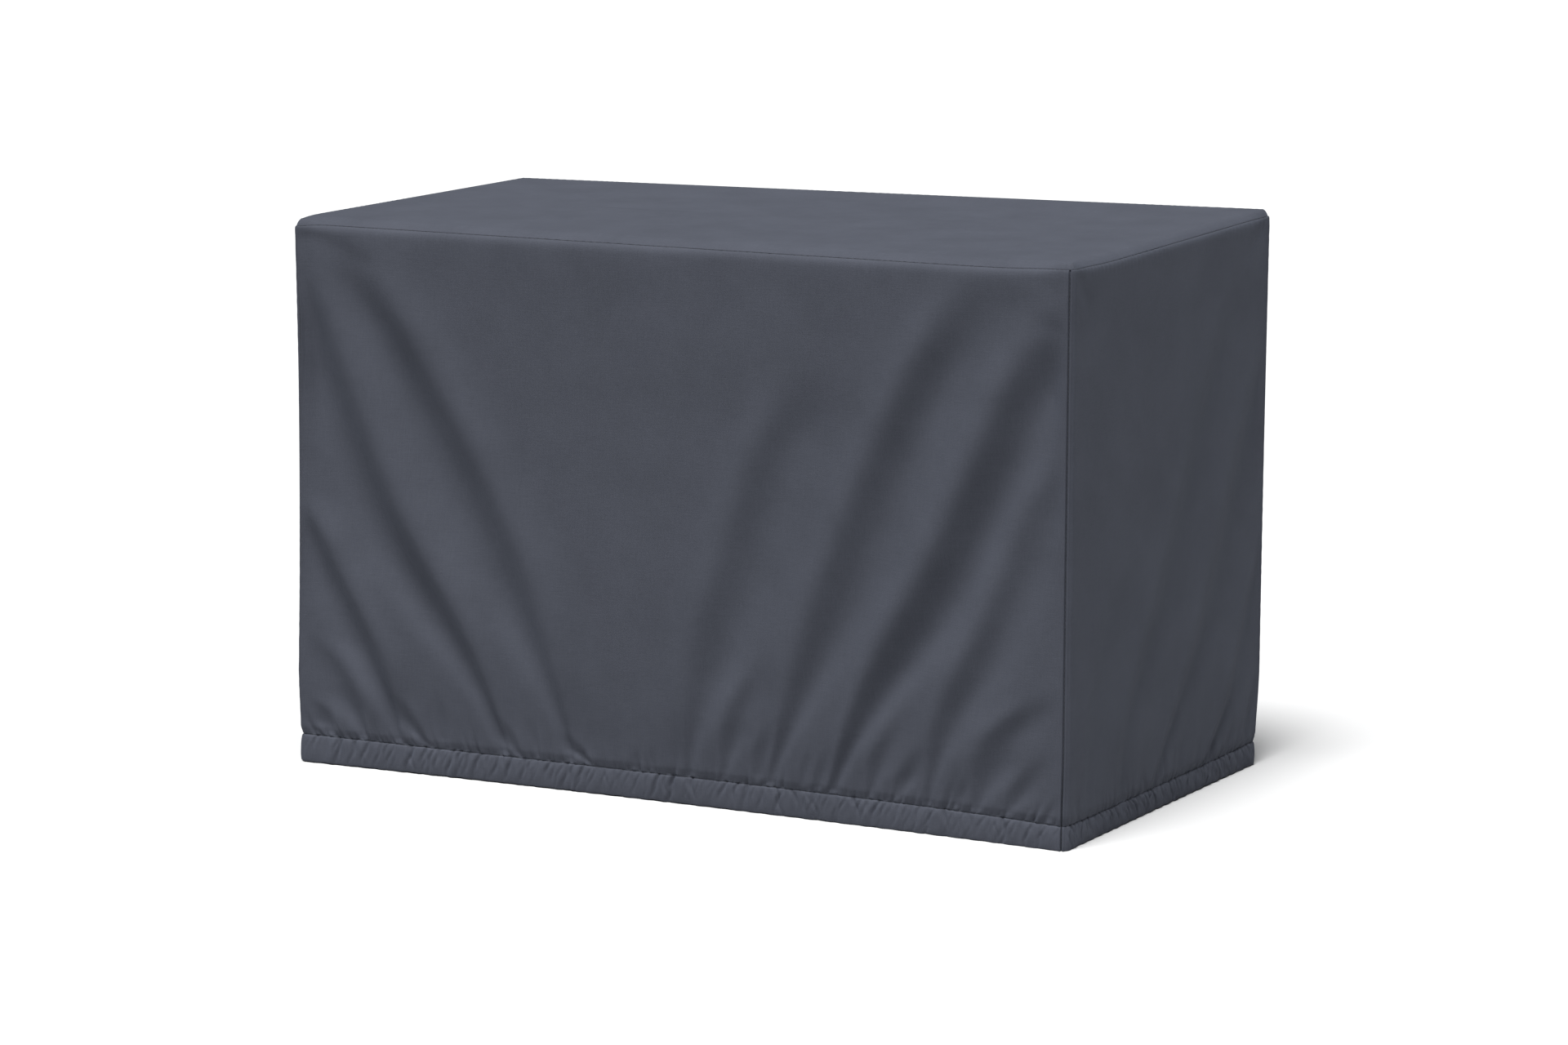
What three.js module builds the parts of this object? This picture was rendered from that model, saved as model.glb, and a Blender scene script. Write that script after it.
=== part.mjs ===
// Fitted box-shaped cover: a top panel and four side panels of woven cloth, sewn along the top edge
// and the upright corners, with a gathered and stitched hem.
// Millimetres, +Z up. The origin is at the middle of the footprint, at the level of the hem.
// X runs along the long sides, and the front panel faces -Y.

import * as THREE from 'three';

// Driving sizes
const LENGTH = 1250;
const DEPTH = 650;
const HEIGHT = 810;
const CLOTH = 2;
const SEAM_GAP = 0.34;
const ROLL = 10;
const TOP_SEAM = HEIGHT - ROLL;

// Hem casing: height of its stitch line, how far it is sunk and bellies out, how it leans out, how much
// thicker it is than the cloth above, and how its lower edge turns under and gets thinner
const STITCH = 40;
const CASING_SINK = 2.6;
const CASING_BELLY = 2.4;
const CASING_LEAN = 0.02;
const CASING_PINCH = 0.8;
const CASING_EXTRA = 2;
const CASING_EASE = 5;
const ABOVE_STITCH = 14;
const HEM_ROUND = 1.2;
const ROUND_UP = 3;
const EDGE_THIN = 0.7;

// The hem as a whole: how far its middle arches up and up to where the cloth follows,
// and how far it is pulled in at the corners and up to where
const HEM_ARCH = 0.5;
const ARCH_UP = 120;
const DRAW_UP = 330;
const HEM_PULL = 4;
const PULL_UP = 150;

// Gathers of the hem: spacing from crest to trough, height of the ripple and of the shallowest one as
// a share of it, how far up it fades, how uneven the spacing is, and what sets the depths apart from it
const TUCK_STEP = 14.9;
const TUCK_DEPTH = 1.5;
const TUCK_SHALLOW = 0.45;
const TUCK_REACH = 26;
const TUCK_UNEVEN = 0.5;
const DEPTH_SEED = 7;

// How far from an edge of the panel its folds die away, and how much sharper a crest is than a trough
const EDGE_FADE = 34;
const TOP_FADE = 30;
const HEM_FADE = 10;
const CREST = 0.85;
const TROUGH = 1.2;

// Share of a fold's height over which it reaches its full spread, shares over which the head of a short
// fold and of a tall one dies away, then its foot: how fast its strength grows there, its half width and
// how far below it the flank still runs on, and last how its strength eases off higher up, and by where
const SPREAD_BY = 0.4;
const SHORT_HEAD_FADE = 0.65;
const TALL_HEAD_FADE = 0.2;
const SHORT_FOLD = 50;
const TALL_FOLD = 300;
const FOOT_START = 0.6;
const FOOT_GROWS = 6;
const FOOT_WIDTH = 12;
const FOOT_BELOW = 10;
const UPPER_STRENGTH = 0.85;
const UPPER_BY = 0.5;

// The foot of a fold is a valley pressed in by the gathers: its depth against the flank, and how far up
const VALLEY = 0.8;
const VALLEY_UP = 120;

// Heights of the rows of points on a side panel. Up to FINE_UP every gather has its own columns.
const FINE_UP = 190;
const ROWS = [0, 20, 36, 40, 46, 80, 130, FINE_UP, 250, 310, 370, 430, 490, 550, 610, 670, 735, TOP_SEAM];

// Points round a corner: on a side panel as shares of the way from its upright seam to the flat cloth,
// and on the top panel as degrees from the flat cloth before it
const ARC_SHARES = [0, 0.33, 0.67];
const ARC_TURNS = [0, 30, 60];

// Rows of points on the top panel: angles round its rolled rim, then steps in towards a spine along its
// middle that reaches SPINE to either side, with its columns about TOP_COLUMN apart. The middle is level
// from FLAT_FROM on, a share of the way in from the rim.
const ROLL_ANGLES = [0, 30, 60, 90];
const INSETS = [0.1, 0.3, 0.65];
const SPINE = 300;
const TOP_COLUMN = 100;
const FLAT_FROM = 0.48;

// Corners, in order round the footprint. side: which way the corner lies from the middle.
// top and hem: how far the cloth lies from the true corner there. round: radius in plan at top and hem.
// mid: how far it is drawn in half way up. seam: how far round the corner its upright seam lies, in
// degrees. drop: how far the casing is shallower, or deeper where it is negative.
const CORNERS = [
  { side: [-1, -1], top: [0, -0.5, -1.5], hem: [-6.8, -6, 1.2], round: [12, 12], mid: 3.9, seam: 58, drop: -1.2 },
  { side: [1, -1], top: [4.5, -1, -1], hem: [2.6, -2, 0], round: [10, 12], mid: 0.8, seam: 20, drop: 5.5 },
  { side: [1, 1], top: [9, 8, 12.5], hem: [4.8, 5.8, 0.8], round: [10, 12], mid: 0.8, seam: 20, drop: 5.9 },
  { side: [-1, 1], top: [-3, -1, -3], hem: [2, 1, 1], round: [12, 14], mid: 0.8, seam: 20, drop: 3 },
];

// The casing gets shallower from a panel's middle towards its corners, and the cloth above follows
const DROP_POWER = 4;
const DROP_REACH = 120;

// Folds of each panel. A fold is a soft step in the cloth: one steep flank, a crest on one side of it and
// a trough on the other. The flank runs through four points, from its foot at the hem by a low and
// a middle point to its head, each as the distance along the panel from its centre and the height.
// slope is the flank's steepest, and falls towards the panel's end when it is positive.
// wide is the fold's half width higher up, where the one at every foot is FOOT_WIDTH.
const FOLD_POINTS = ['foot', 'low', 'middle', 'head'];

const FRONT_FOLDS = [
  { foot: [-273, 46], low: [-313, 160], middle: [-466, 400], head: [-624, 800], slope: -0.74, wide: 39 },
  { foot: [-161, 46], low: [-189, 160], middle: [-290, 400], head: [-542, 800], slope: -0.56, wide: 40 },
  { foot: [-451, 46], low: [-483, 160], middle: [-558, 292], head: [-622, 410], slope: -0.7, wide: 25 },
  { foot: [-510, 46], low: [-529, 105], middle: [-552, 155], head: [-604, 203], slope: -0.46, wide: 19 },
  { foot: [-406, 46], low: [-422, 66], middle: [-436, 86], head: [-462, 132], slope: -0.3, wide: 14 },
  { foot: [-132, 55], low: [-133, 90], middle: [-135, 130], head: [-140, 190], slope: -0.14, wide: 19 },
  { foot: [24, 46], low: [37, 155], middle: [115, 400], head: [208, 650], slope: 0.46, wide: 33 },
  { foot: [80, 48], low: [87, 95], middle: [107, 155], head: [141, 226], slope: 0.4, wide: 15 },
  { foot: [153, 46], low: [191, 155], middle: [327, 500], head: [474, 800], slope: 0.6, wide: 33 },
  { foot: [253, 46], low: [297, 155], middle: [438, 400], head: [604, 765], slope: 0.8, wide: 34 },
  { foot: [315, 48], low: [325, 94], middle: [339, 124], head: [368, 184], slope: 0.36, wide: 14 },
  { foot: [404, 44], low: [429, 155], middle: [502, 300], head: [604, 560], slope: 0.56, wide: 26 },
  { foot: [478, 46], low: [502, 130], middle: [530, 168], head: [594, 226], slope: 0.46, wide: 19 },
  { foot: [527, 46], low: [543, 76], middle: [561, 104], head: [594, 146], slope: 0.34, wide: 15 },
];

const RIGHT_FOLDS = [
  { foot: [-152, 46], low: [-142, 145], middle: [-46, 291], head: [200, 740], slope: 0.2, wide: 36 },
  { foot: [-38, 46], low: [8, 110], middle: [114, 250], head: [312, 640], slope: 0.24, wide: 38 },
  { foot: [138, 43], low: [204, 109], middle: [252, 204], head: [318, 335], slope: 0.26, wide: 24 },
  { foot: [-266, 70], low: [-260, 140], middle: [-240, 220], head: [-196, 370], slope: 0.12, wide: 26 },
  { foot: [48, 50], low: [53, 90], middle: [62, 120], head: [86, 175], slope: 0.16, wide: 15 },
];

const BACK_FOLDS = [
  { foot: [-232, 46], low: [-272, 160], middle: [-422, 400], head: [-618, 775], slope: -0.52, wide: 34 },
  { foot: [-112, 46], low: [-142, 160], middle: [-236, 400], head: [-470, 780], slope: -0.44, wide: 36 },
  { foot: [-402, 46], low: [-438, 150], middle: [-508, 280], head: [-616, 430], slope: -0.48, wide: 24 },
  { foot: [-500, 46], low: [-520, 95], middle: [-552, 150], head: [-608, 225], slope: -0.4, wide: 17 },
  { foot: [-330, 46], low: [-340, 70], middle: [-350, 90], head: [-370, 132], slope: -0.26, wide: 14 },
  { foot: [52, 46], low: [68, 150], middle: [124, 330], head: [214, 600], slope: 0.32, wide: 34 },
  { foot: [104, 48], low: [112, 90], middle: [126, 140], head: [154, 210], slope: 0.3, wide: 15 },
  { foot: [190, 46], low: [222, 150], middle: [330, 390], head: [520, 785], slope: 0.46, wide: 34 },
  { foot: [300, 46], low: [342, 155], middle: [470, 380], head: [612, 745], slope: 0.62, wide: 35 },
  { foot: [440, 46], low: [466, 140], middle: [522, 250], head: [612, 420], slope: 0.48, wide: 24 },
  { foot: [528, 46], low: [545, 78], middle: [564, 110], head: [604, 168], slope: 0.34, wide: 15 },
];

const LEFT_FOLDS = [
  { foot: [-118, 46], low: [-146, 140], middle: [-206, 320], head: [-304, 640], slope: -0.3, wide: 34 },
  { foot: [-214, 46], low: [-232, 100], middle: [-262, 170], head: [-314, 300], slope: -0.3, wide: 20 },
  { foot: [-18, 46], low: [-30, 150], middle: [-62, 300], head: [-142, 600], slope: -0.22, wide: 34 },
  { foot: [94, 46], low: [122, 150], middle: [176, 300], head: [292, 690], slope: 0.32, wide: 34 },
  { foot: [188, 46], low: [214, 110], middle: [246, 180], head: [314, 330], slope: 0.3, wide: 22 },
  { foot: [24, 46], low: [29, 80], middle: [36, 120], head: [56, 200], slope: 0.2, wide: 15 },
];

// Side panels in order round the footprint: each runs from its own corner to the next.
// parting: where its folds change from leaning one way to the other.
// draw and drop: how far the gathered hem is pulled in and its casing is shallower at the middle.
// seed: sets its unevenness.
const PANELS = [
  { name: 'front_panel', along: [1, 0], folds: FRONT_FOLDS, parting: -60, draw: 14, drop: 0, seed: 3 },
  { name: 'right_panel', along: [0, 1], folds: RIGHT_FOLDS, parting: -325, draw: 1, drop: 8, seed: 17 },
  { name: 'back_panel', along: [-1, 0], folds: BACK_FOLDS, parting: 0, draw: 12, drop: 1, seed: 29 },
  { name: 'left_panel', along: [0, -1], folds: LEFT_FOLDS, parting: 10, draw: 8, drop: 2, seed: 41 },
];

const SIDE_CLOTH = { color: 0x50545f, roughness: 0.82, metalness: 0 };
const TOP_CLOTH = { color: 0x545863, roughness: 0.8, metalness: 0 };

// Steps and height of the steep sine wave that the uneven values are read from
const INDEX_STEP = 12.9898;
const SEED_STEP = 78.233;
const WAVE_HEIGHT = 43758.5453;

const lerp = (a, b, t) => a + (b - a) * t;
const clamp01 = (t) => Math.min(1, Math.max(0, t));
const smooth = (t) => clamp01(t) ** 2 * (3 - 2 * clamp01(t));
const radians = THREE.MathUtils.degToRad;

// A fixed, uneven value between 0 and 1 for each whole number
function uneven(index, seed) {
  const wave = Math.sin(index * INDEX_STEP + seed * SEED_STEP) * WAVE_HEIGHT;
  return wave - Math.floor(wave);
}

function outward(panel) {
  return [panel.along[1], -panel.along[0]];
}

function panelLength(panel) {
  return panel.along[0] ? LENGTH : DEPTH;
}

// True corner of the cloth in plan at a height, before it is rounded
function cornerAt(index, height) {
  const corner = CORNERS[index % 4];
  const up = clamp01(height / HEIGHT);
  const pulled = smooth((PULL_UP - height) / (PULL_UP - STITCH / 2));
  const waist = corner.mid * 4 * up * (1 - up) + HEM_PULL * pulled;
  return [LENGTH, DEPTH].map(
    (size, axis) =>
      corner.side[axis] * (size / 2 - waist) + lerp(corner.hem[axis], corner.top[axis], up),
  );
}

function cornerRound(index, height) {
  const [atTop, atHem] = CORNERS[index % 4].round;
  return lerp(atHem, atTop, clamp01(height / HEIGHT));
}

// Height of the cloth above its nominal height, shared out between the four corners
function lift(x, y, key) {
  const across = clamp01(x / LENGTH + 0.5);
  const back = clamp01(y / DEPTH + 0.5);
  const [frontLeft, frontRight, backRight, backLeft] = CORNERS.map((corner) => corner[key][2]);
  return lerp(lerp(frontLeft, frontRight, across), lerp(backLeft, backRight, across), back);
}

function worldHeight(x, y, height) {
  const up = clamp01(height / HEIGHT);
  return height + lerp(lift(x, y, 'hem'), lift(x, y, 'top'), up);
}

// Distance along the panel of a fold's flank at a height, on a smooth curve through its four points
function flankAt(fold, height) {
  const points = FOLD_POINTS.map((name) => fold[name]);
  const leans = points.slice(1).map(([at, up], index) => (at - points[index][0]) / (up - points[index][1]));
  const bends = [leans[0], (leans[0] + leans[1]) / 2, (leans[1] + leans[2]) / 2, leans[2]];
  const stretch = height < points[1][1] ? 0 : height < points[2][1] ? 1 : 2;
  const [[fromAt, fromUp], [toAt, toUp]] = points.slice(stretch, stretch + 2);
  const step = toUp - fromUp;
  const t = (height - fromUp) / step;
  const start = (2 * t - 3) * t * t + 1;
  const bent = bends[stretch] * t * (1 - t) ** 2 - bends[stretch + 1] * t * t * (1 - t);
  return start * fromAt + (1 - start) * toAt + step * bent;
}

function foldRelief(fold, at, height) {
  const [footUp, headUp] = [fold.foot[1], fold.head[1]];
  const climbed = (height - footUp) / (headUp - footUp);
  const upper = lerp(1, UPPER_STRENGTH, smooth(climbed / UPPER_BY));
  const tall = smooth((headUp - footUp - SHORT_FOLD) / (TALL_FOLD - SHORT_FOLD));
  const headFade = lerp(SHORT_HEAD_FADE, TALL_HEAD_FADE, tall);
  const strength = smooth(climbed * FOOT_GROWS + FOOT_START) * smooth((1 - climbed) / headFade) * upper;
  const halfWidth = lerp(FOOT_WIDTH, fold.wide, smooth(climbed / SPREAD_BY));
  const aside = at - flankAt(fold, Math.min(headUp, Math.max(footUp - FOOT_BELOW, height)));
  const spread = halfWidth * (aside * fold.slope < 0 ? CREST : TROUGH);
  const valley = Math.abs(fold.slope) * VALLEY * (1 - smooth((height - footUp) / VALLEY_UP)) * halfWidth;
  return -strength * (fold.slope * aside + valley) * Math.exp(-((aside / spread) ** 2) / 2);
}

// Columns of the gathers along a panel: crest and trough in turn, unevenly spaced and unevenly deep
function gatherColumns(panel) {
  const length = panelLength(panel);
  const count = 2 * Math.round(length / TUCK_STEP / 2);
  return Array.from({ length: count + 1 }, (_, index) => {
    const shift = TUCK_UNEVEN * (uneven(index, panel.seed) - 0.5);
    const inside = index > 0 && index < count;
    const depth = TUCK_DEPTH * lerp(TUCK_SHALLOW, 1, uneven(index, panel.seed + DEPTH_SEED));
    return {
      at: (inside ? index + shift : index) / count,
      ripple: inside ? depth * (index % 2 ? 1 : -1) : 0,
    };
  });
}

// Section of the hem: a casing with a belly and an edge turned under, and the cloth sunk above its stitches
function casingRelief(height) {
  const pinch = height === STITCH ? CASING_PINCH : 0;
  if (height >= STITCH) {
    return -CASING_SINK * (1 - smooth((height - STITCH) / ABOVE_STITCH)) - pinch;
  }
  const belly = CASING_BELLY * Math.sqrt(Math.sin((Math.PI * height) / STITCH));
  const under = HEM_ROUND * (1 - smooth(height / ROUND_UP));
  return belly - under - CASING_SINK + CASING_LEAN * (STITCH - height);
}

function thicknessAt(height) {
  const inCasing = smooth((STITCH - height) / CASING_EASE);
  return CLOTH + CASING_EXTRA * inCasing * lerp(EDGE_THIN, 1, smooth(height / ROUND_UP));
}

// How far the cloth of a side panel stands out from its flat outline
function relief(panel, at, share, ripple, height) {
  const half = panelLength(panel) / 2;
  const edge = smooth((half - Math.abs(at)) / EDGE_FADE);
  const ends = edge * smooth((TOP_SEAM - height) / TOP_FADE) * smooth((height - STITCH) / HEM_FADE);
  const folds = panel.folds.reduce((sum, fold) => sum + foldRelief(fold, at, height), 0);
  const fade = height < STITCH ? 1 : Math.exp(-(height - STITCH) / TUCK_REACH);
  const middle = 1 - (2 * share - 1) ** 2;
  const drawn = panel.draw * middle * clamp01(1 - height / DRAW_UP) ** 2;
  return folds * ends + ripple * fade * edge + casingRelief(height) - drawn;
}

// How far the gathered casing makes the cloth sit lower than its nominal height
function casingDrop(index, share, height) {
  const middle = PANELS[index].drop;
  const nearStart = clamp01(1 - 2 * share) ** DROP_POWER * (CORNERS[index].drop - middle);
  const nearEnd = clamp01(2 * share - 1) ** DROP_POWER * (CORNERS[(index + 1) % 4].drop - middle);
  const fade = Math.min(height / STITCH, 1) * (1 - smooth((height - STITCH) / DROP_REACH));
  return (middle + nearStart + nearEnd) * fade;
}

// A point of the rounded corner in plan, and the direction out of the cloth there
function arcPoint(index, degrees, height) {
  const before = outward(PANELS[(index + 3) % 4]);
  const after = outward(PANELS[index % 4]);
  const radius = cornerRound(index, height);
  const turn = radians(degrees);
  const out = [0, 1].map((axis) => Math.cos(turn) * before[axis] + Math.sin(turn) * after[axis]);
  const corner = cornerAt(index, height);
  const plan = corner.map((value, axis) => value + radius * (out[axis] - before[axis] - after[axis]));
  return { plan, out };
}

// Angle that half of the seam's gap takes up on the inner side of a corner
function gapAngle(index, height) {
  const inner = cornerRound(index, height) - thicknessAt(height);
  return THREE.MathUtils.radToDeg(SEAM_GAP / 2 / inner);
}

// Stations across a side panel: the end of one corner's arc, the flat cloth, the start of the next arc.
// order numbers them along the panel. The rows higher up leave out every second column of the gathers.
function panelStations(index, height) {
  const panel = PANELS[index];
  const first = CORNERS[index].seam + gapAngle(index, height);
  const last = CORNERS[(index + 1) % 4].seam - gapAngle(index + 1, height);
  const leading = ARC_SHARES.map((part) => ({
    ...arcPoint(index, lerp(first, 90, part), height),
    share: 0,
    ripple: 0,
  }));
  const start = arcPoint(index, 90, height).plan;
  const end = arcPoint(index + 1, 0, height).plan;
  const flat = gatherColumns(panel).map(({ at, ripple }, count) => ({
    plan: [0, 1].map((axis) => lerp(start[axis], end[axis], at)),
    out: outward(panel),
    share: at,
    ripple,
    lowOnly: count % 2 === 1,
  }));
  const trailing = [{ ...arcPoint(index + 1, last, height), share: 1, ripple: 0 }];
  const stations = [...leading, ...flat, ...trailing].map((station, order) => ({ ...station, order }));
  return stations.filter((station) => height <= FINE_UP || !station.lowOnly);
}

function panelRow(index, height) {
  const panel = PANELS[index];
  return panelStations(index, height).map(({ plan, out, share, ripple, order }) => {
    const at = plan[0] * panel.along[0] + plan[1] * panel.along[1];
    const proud = relief(panel, at, share, ripple, height);
    const arch = HEM_ARCH * (1 - (2 * share - 1) ** 2) * clamp01(1 - height / ARCH_UP);
    const seam = height === TOP_SEAM ? SEAM_GAP / 2 : 0;
    const level = worldHeight(plan[0], plan[1], height) + arch - seam - casingDrop(index, share, height);
    const place = (offset) => [plan[0] + out[0] * offset, plan[1] + out[1] * offset, level];
    const leansOn = at > panel.parting;
    return { order, leansOn, outer: place(proud), inner: place(proud - thicknessAt(height)) };
  });
}

// Triangles between two rows of numbered points that may differ in count, from their order along the row.
// Where both rows have the next point, leansOn picks the diagonal that runs with the folds.
function stitchRows(lower, upper) {
  const triangles = [];
  let low = 0;
  let high = 0;
  while (low < lower.length - 1 || high < upper.length - 1) {
    const lowNext = low < lower.length - 1 ? lower[low + 1].order : Infinity;
    const highNext = high < upper.length - 1 ? upper[high + 1].order : Infinity;
    if (lowNext < highNext || (lowNext === highNext && !lower[low].leansOn)) {
      triangles.push([lower[low].id, lower[low + 1].id, upper[high].id]);
      low += 1;
    } else {
      triangles.push([lower[low].id, upper[high + 1].id, upper[high].id]);
      high += 1;
    }
  }
  return triangles;
}

function geometryOf(points, triangles) {
  const geometry = new THREE.BufferGeometry();
  geometry.setAttribute('position', new THREE.Float32BufferAttribute(points.flat(), 3));
  geometry.setIndex(triangles.flat());
  geometry.computeVertexNormals();
  return geometry;
}

function clothMesh(name, geometry, finish) {
  const mesh = new THREE.Mesh(geometry, new THREE.MeshStandardMaterial(finish));
  mesh.name = name;
  return mesh;
}

// Numbers the points of one face of the cloth, row by row
function numberRows(rows, face, points) {
  return rows.map((row) =>
    row.map((station) => {
      points.push(station[face]);
      return { order: station.order, leansOn: station.leansOn, id: points.length - 1 };
    }),
  );
}

function faceTriangles(rows) {
  return rows.slice(1).flatMap((row, index) => stitchRows(rows[index], row));
}

// Strip of cloth edge between a line of points on the outer face and its twin on the inner one
function edgeStrip(outer, inner) {
  return outer.slice(1).flatMap((point, index) => [
    [outer[index].id, inner[index].id, point.id],
    [point.id, inner[index].id, inner[index + 1].id],
  ]);
}

const reversed = (list) => [...list].reverse();
const flipped = (triangles) => triangles.map(([a, b, c]) => [a, c, b]);

function sidePanel(index) {
  const rows = ROWS.map((height) => panelRow(index, height));
  const points = [];
  const outer = numberRows(rows, 'outer', points);
  const inner = numberRows(rows, 'inner', points);
  const startEdge = [outer, inner].map((face) => face.map((row) => row[0]));
  const endEdge = [outer, inner].map((face) => face.map((row) => row[row.length - 1]));
  const last = rows.length - 1;
  const triangles = [
    ...faceTriangles(outer),
    ...flipped(faceTriangles(inner)),
    ...edgeStrip(outer[0], inner[0]),
    ...edgeStrip(reversed(outer[last]), reversed(inner[last])),
    ...edgeStrip(...startEdge.map(reversed)),
    ...edgeStrip(...endEdge),
  ];
  return clothMesh(PANELS[index].name, geometryOf(points, triangles), SIDE_CLOTH);
}

// Stations round the top seam: each corner's arc, then the straight to the next corner
function seamLoop() {
  return PANELS.flatMap((panel, index) => {
    const arc = ARC_TURNS.map((degrees) => arcPoint(index, degrees, TOP_SEAM));
    const start = arcPoint(index, 90, TOP_SEAM).plan;
    const end = arcPoint(index + 1, 0, TOP_SEAM).plan;
    const columns = Math.round(panelLength(panel) / TOP_COLUMN);
    const straight = Array.from({ length: columns }, (_, column) => ({
      plan: [0, 1].map((axis) => lerp(start[axis], end[axis], column / columns)),
      out: outward(panel),
    }));
    return [...arc, ...straight];
  });
}

function rollRow(loop, degrees) {
  const turn = radians(degrees);
  return loop.map(({ plan, out }, order) => {
    const level = worldHeight(plan[0], plan[1], TOP_SEAM) + (degrees === 0 ? SEAM_GAP / 2 : 0);
    const place = (radius) => [
      plan[0] + out[0] * (radius * Math.cos(turn) - ROLL),
      plan[1] + out[1] * (radius * Math.cos(turn) - ROLL),
      level + radius * Math.sin(turn),
    ];
    return { order, outer: place(ROLL), inner: place(ROLL - CLOTH) };
  });
}

// Height of the top: level in its middle, and as high as its corners near the rim
function topLevel(x, y) {
  const across = x / (LENGTH / 2 - ROLL);
  const back = y / (DEPTH / 2 - ROLL);
  const inside = clamp01(1 - across ** 2) * clamp01(1 - back ** 2);
  return HEIGHT + lift(x, y, 'top') * (1 - smooth(inside / FLAT_FROM));
}

// A row of the top panel further in
function insetRow(loop, inset) {
  return loop.map(({ plan, out }, order) => {
    const rim = plan.map((value, axis) => value - out[axis] * ROLL);
    const spine = [Math.min(SPINE, Math.max(-SPINE, rim[0])), 0];
    const [x, y] = rim.map((value, axis) => lerp(value, spine[axis], inset));
    const level = topLevel(x, y);
    return { order, outer: [x, y, level], inner: [x, y, level - CLOTH] };
  });
}

function closedRing(row) {
  return [...row, { ...row[0], order: row.length }];
}

function topPanel() {
  const loop = seamLoop();
  const rows = [
    ...ROLL_ANGLES.map((degrees) => rollRow(loop, degrees)),
    ...INSETS.map((inset) => insetRow(loop, inset)),
  ];
  const points = [];
  const outer = numberRows(rows, 'outer', points).map(closedRing);
  const inner = numberRows(rows, 'inner', points).map(closedRing);
  const middle = (face, level) => {
    points.push([0, 0, level]);
    const ring = face[face.length - 1];
    return ring.slice(1).map((point, index) => [ring[index].id, point.id, points.length - 1]);
  };
  const triangles = [
    ...faceTriangles(outer),
    ...middle(outer, HEIGHT),
    ...flipped(faceTriangles(inner)),
    ...flipped(middle(inner, HEIGHT - CLOTH)),
    ...edgeStrip(outer[0], inner[0]),
  ];
  return clothMesh('top_panel', geometryOf(points, triangles), TOP_CLOTH);
}

const cover = new THREE.Group();
cover.add(topPanel());
PANELS.forEach((panel, index) => cover.add(sidePanel(index)));

export default cover;
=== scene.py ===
import math

import bpy
import numpy as np
from mathutils import Matrix, Vector


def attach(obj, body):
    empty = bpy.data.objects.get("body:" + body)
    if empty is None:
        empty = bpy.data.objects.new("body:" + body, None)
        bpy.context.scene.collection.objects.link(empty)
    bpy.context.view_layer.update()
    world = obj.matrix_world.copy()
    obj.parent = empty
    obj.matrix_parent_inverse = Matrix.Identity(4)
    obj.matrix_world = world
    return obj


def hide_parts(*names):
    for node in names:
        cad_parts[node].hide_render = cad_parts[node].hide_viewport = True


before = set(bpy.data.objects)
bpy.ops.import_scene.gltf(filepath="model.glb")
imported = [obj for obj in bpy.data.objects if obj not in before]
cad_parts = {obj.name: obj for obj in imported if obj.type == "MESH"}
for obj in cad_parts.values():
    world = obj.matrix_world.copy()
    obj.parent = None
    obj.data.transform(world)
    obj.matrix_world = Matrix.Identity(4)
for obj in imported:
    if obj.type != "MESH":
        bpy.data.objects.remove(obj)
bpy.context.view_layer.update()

# The cover's own sizes in metres, the same as the frame's
LENGTH, DEPTH, HEIGHT = 1.250, 0.650, 0.810
CLOTH = 0.002
SEAM_GAP = 0.00010
ROLL = 0.010
TOP_SEAM = HEIGHT - ROLL

# The hem's casing: its stitch line, how far it sinks, swells and leans, and its lower edge
STITCH = 0.040
CASING_SINK = 0.0026
CASING_BELLY = 0.0024
CASING_LEAN = 0.02
CASING_EXTRA = 0.002
STITCH_PULL = 0.0014
STITCH_GROOVE = 0.0011
ABOVE_STITCH = 0.014
HEM_CURL, CURL_UP = 0.0006, 0.002
HEM_ARCH, ARCH_UP = 0.0005, 0.120

# How far up the hem's gathering draws in the panels and the corners
DRAW_UP = 0.330
HEM_PULL, PULL_UP = 0.004, 0.150

# Where the folds fade out, how wide their two sides are, and how their strength falls towards their heads
EDGE_FADE = 0.034
TOP_FADE = 0.030
HEM_FADE = 0.010
CREST, TROUGH = 0.85, 1.20
VALLEY, VALLEY_UP = 0.80, 0.120
FOLD_SPREAD_BY = 0.40
HEAD_FADES, TALL_FROM, TALL_BY = (0.65, 0.20), 0.050, 0.300
HIGH_STRENGTH, HIGH_BY = 0.85, 0.5

# Gathers of the hem: broad ripples as in the frame, then sharp creases on the casing and above it
TUCK_STEP, TUCK_DEPTH, TUCK_REACH, TUCK_UNEVEN = 0.0149, 0.0011, 0.022, 0.5
CREASE_STEP = 0.0092
CREASE_DEEP, CREASE_WIDTH, CREASE_REACH = (0.0010, 0.0022), (0.0012, 0.0024), (0.018, 0.075)
CREASE_DEEP_UP, CREASE_RISE = (0.0005, 0.0021), (0.006, 0.026)
SHORT_SIDE_TIGHT = 1.3

# Corners in order round the footprint. Columns: way from the middle, then how far the cloth lies from the
# true corner at the top and at the hem (x, y, z), then the corner's radius in plan at the top and the hem,
# how far round the corner its upright seam lies in degrees, how far its casing is shallower, and how far it
# is drawn in half way up
CORNERS = [
    ((-1, -1), (0.0000, -0.0005, -0.0015), (-0.0068, -0.0060, 0.0012), (0.012, 0.012), 58, -0.0012, 0.0039),
    ((1, -1), (0.0045, -0.0010, -0.0010), (0.0026, -0.0020, 0.0), (0.010, 0.012), 20, 0.0055, 0.0008),
    ((1, 1), (0.0090, 0.0080, 0.0125), (0.0048, 0.0058, 0.0008), (0.010, 0.012), 20, 0.0059, 0.0008),
    ((-1, 1), (-0.0030, -0.0010, -0.0030), (0.0020, 0.0010, 0.0010), (0.012, 0.014), 20, 0.0030, 0.0008),
]
DROP_REACH, DROP_POWER = 0.120, 4

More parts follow.
